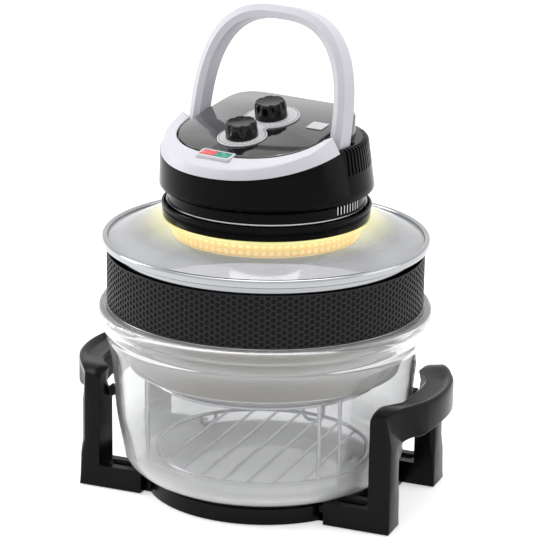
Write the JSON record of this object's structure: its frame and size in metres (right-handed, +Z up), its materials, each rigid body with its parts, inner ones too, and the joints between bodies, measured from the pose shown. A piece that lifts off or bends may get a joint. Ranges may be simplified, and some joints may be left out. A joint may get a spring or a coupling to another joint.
{
  "type": "countertop mini oven",
  "caption": "Round glass bowl oven in a stand with side grips, an extender ring and a lift-off glass lid that carries a lamp head, knobs and a folding carry handle.",
  "frame": {"origin": "on the bowl's axis at the surface that the foot pads stand on", "axes": "+Z up, -Y towards the front of the stand, +X through the right side grip; the head is set down turned 12 degrees clockwise from above"},
  "size_m": [0.389, 0.3326, 0.4899],
  "materials": {
    "stand_plastic": "satin",
    "rubber": "matt",
    "glass": "clear",
    "steel": "polished",
    "tray_metal": "satin",
    "band_paint": "satin",
    "head_plastic": "gloss",
    "trim_plastic": "satin",
    "panel_gloss": "high gloss",
    "red_lens": "clear tint",
    "green_lens": "clear tint",
    "lamp_glass": "glowing",
    "ceramic": "matt white ceramic",
    "plain_aluminium": "satin"
  },
  "bodies": {
    "stand": {"base_ring": "stand_plastic", "side_handle_right": "stand_plastic", "side_handle_left": "stand_plastic", "foot_pad_front_right": "rubber", "foot_pad_front_left": "rubber", "foot_pad_rear_right": "rubber", "foot_pad_rear_left": "rubber", "bowl_pad_front_right": "rubber", "bowl_pad_front_left": "rubber", "bowl_pad_rear_right": "rubber", "bowl_pad_rear_left": "rubber", "stand_screw_front_right": "steel", "stand_screw_front_left": "steel", "stand_screw_rear_right": "steel", "stand_screw_rear_left": "steel"},
    "bowl": {"glass_bowl": "glass"},
    "low_rack": {"wire_rack": "steel"},
    "tall_rack": {"high_rack": "steel"},
    "tray": {"cooking_tray": "tray_metal"},
    "extender": {"extender_hoop": "steel", "extender_band": "band_paint"},
    "lid": {"lid_rim": "steel", "lid_glass": "glass", "glass_gasket": "rubber", "collar": "head_plastic", "head_housing": "head_plastic", "pod_cover": "head_plastic", "front_trim": "trim_plastic", "cord_gland": "rubber", "control_panel": "panel_gloss", "dial_plate": "trim_plastic", "timer_body": "plain_aluminium", "thermostat_body": "plain_aluminium", "red_lens": "red_lens", "green_lens": "green_lens", "lamp_bezel": "trim_plastic", "label_plate": "trim_plastic", "handle_switch": "head_plastic", "lamp_reflector": "plain_aluminium", "lamp_guard": "steel", "halogen_tube": "lamp_glass", "lamp_holder_right": "ceramic", "lamp_holder_left": "ceramic", "fan_motor": "plain_aluminium"},
    "handle": {"carry_handle": "trim_plastic", "pivot_pin_right": "steel", "pivot_pin_left": "steel"},
    "timer": {"timer_knob": "head_plastic", "timer_spindle": "steel"},
    "heat": {"heat_knob": "head_plastic", "heat_spindle": "steel"},
    "rotor": {"motor_shaft": "steel", "cooling_fan": "head_plastic", "convection_fan": "plain_aluminium"}
  },
  "joints": [
    {"name": "bowl_lift", "type": "slide", "parent": "stand", "child": "bowl", "axis": [0, 0, 1], "range_m": [0, 0.13]},
    {"name": "low_rack_lift", "type": "slide", "parent": "bowl", "child": "low_rack", "axis": [0, 0, 1], "range_m": [0, 0.05]},
    {"name": "tall_rack_lift", "type": "slide", "parent": "bowl", "child": "tall_rack", "axis": [0, 0, 1], "range_m": [0, 0.05]},
    {"name": "tray_lift", "type": "slide", "parent": "tall_rack", "child": "tray", "axis": [0, 0, 1], "range_m": [0, 0.05]},
    {"name": "extender_lift", "type": "slide", "parent": "bowl", "child": "extender", "axis": [0, 0, 1], "range_m": [0, 0.08]},
    {"name": "lid_lift", "type": "slide", "parent": "extender", "child": "lid", "axis": [0, 0, 1], "range_m": [0, 0.15]},
    {"name": "handle_fold", "type": "hinge", "parent": "lid", "child": "handle", "pos_m": [0, 0, 0.368], "axis": [0.9781, -0.2079, 0], "range_deg": [-52, 0]},
    {"name": "timer_turn", "type": "hinge", "parent": "lid", "child": "timer", "pos_m": [-0.00909, -0.04275, 0.37026], "axis": [-0.039, -0.1833, 0.9823], "range_deg": [-300, 0]},
    {"name": "heat_turn", "type": "hinge", "parent": "lid", "child": "heat", "pos_m": [0.00133, 0.00625, 0.37982], "axis": [-0.039, -0.1833, 0.9823], "range_deg": [-270, 0]},
    {"name": "fan_spin", "type": "hinge", "parent": "lid", "child": "rotor", "pos_m": [0, 0, 0.3], "axis": [0, 0, 1], "continuous": true}
  ]
}
